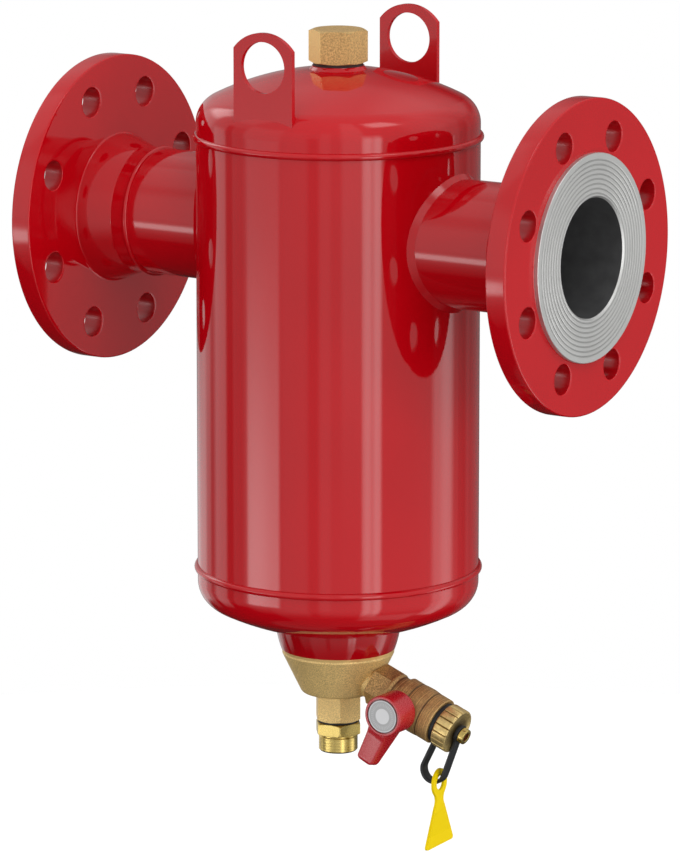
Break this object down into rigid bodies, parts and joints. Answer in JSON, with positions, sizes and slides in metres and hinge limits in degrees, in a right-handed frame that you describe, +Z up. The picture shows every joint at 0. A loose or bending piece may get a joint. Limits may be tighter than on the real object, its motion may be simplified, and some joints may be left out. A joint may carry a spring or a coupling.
{
  "type": "magnetic dirt separator",
  "caption": "Upright welded dirt separator with two flanged nozzles, top vent plug and lifting lugs, and a brass drain bowl with magnet pocket, lever ball valve and hang tag.",
  "frame": {"origin": "centre of the inlet flange's gasket face, on the nozzle axis", "axes": "+X along the flow from inlet to outlet, +Z up along the vessel, +Y to the rear, so the drain valve's lever faces -Y"},
  "size_m": [0.35, 0.185, 0.4924],
  "materials": {
    "red_paint": "smooth gloss",
    "weld_paint": "gloss over weld beads",
    "cast_brass": "as cast, matte",
    "bright_brass": "turned, bright",
    "valve_brass": "tumbled, dull",
    "zinc_steel": "zinc plated",
    "inner_steel": "plain",
    "ball_chrome": "polished",
    "magnet_metal": "plated",
    "grey_gasket": "pressed fibre",
    "black_rubber": "moulded, satin",
    "seat_plastic": "turned",
    "element_plastic": "moulded",
    "lever_plastic": "moulded, gloss",
    "disc_plastic": "smooth",
    "tag_plastic": "moulded, satin"
  },
  "bodies": {
    "separator": {"shell": "red_paint", "top_head": "red_paint", "bottom_head": "red_paint", "inlet_flange": "red_paint", "outlet_flange": "red_paint", "inlet_pipe": "red_paint", "outlet_pipe": "red_paint", "rear_lifting_lug": "red_paint", "front_lifting_lug": "red_paint", "vent_boss": "red_paint", "drain_collar": "red_paint", "top_seam_weld": "weld_paint", "bottom_seam_weld": "weld_paint", "inlet_butt_weld": "weld_paint", "outlet_butt_weld": "weld_paint", "inlet_nozzle_weld": "weld_paint", "outlet_nozzle_weld": "weld_paint", "rear_lug_weld": "weld_paint", "front_lug_weld": "weld_paint", "vent_boss_weld": "weld_paint", "drain_bowl": "cast_brass", "vent_plug": "cast_brass", "magnet_sleeve": "bright_brass", "valve_end_piece": "valve_brass", "valve_body": "valve_brass", "gland_nut": "zinc_steel", "element_support": "inner_steel", "vent_gasket": "grey_gasket", "bowl_seal": "black_rubber", "sleeve_gasket": "black_rubber", "cap_strap": "black_rubber", "inlet_ball_seat": "seat_plastic", "outlet_ball_seat": "seat_plastic", "stem_packing": "seat_plastic", "mesh_element": "element_plastic"},
    "lever": {"stem": "zinc_steel", "lever": "lever_plastic", "lever_disc": "disc_plastic", "lever_screw": "zinc_steel", "ball": "ball_chrome"},
    "cap": {"drain_cap": "valve_brass", "cap_gasket": "black_rubber", "cap_screw": "bright_brass"},
    "magnet": {"magnet_rod": "inner_steel", "magnets": "magnet_metal", "magnet_spacers": "magnet_metal"},
    "tag": {"tag": "tag_plastic"}
  },
  "joints": [
    {"name": "lever_turn", "type": "hinge", "parent": "separator", "child": "lever", "pos_m": [0.22775, 0, -0.28247], "axis": [0, -1, 0], "range_deg": [0, 90]},
    {"name": "cap_unscrew", "type": "hinge", "parent": "separator", "child": "cap", "pos_m": [0.25529, 0, -0.29304], "axis": [0.9336, 0, -0.3584], "range_deg": [0, 1440]},
    {"name": "magnet_slide", "type": "slide", "parent": "separator", "child": "magnet", "axis": [0, 0, -1], "range_m": [0, 0.18]},
    {"name": "tag_swing", "type": "hinge", "parent": "separator", "child": "tag", "pos_m": [0.247, 0, -0.32759], "axis": [0.9976, 0.0698, 0], "range_deg": [-30, 30]}
  ]
}
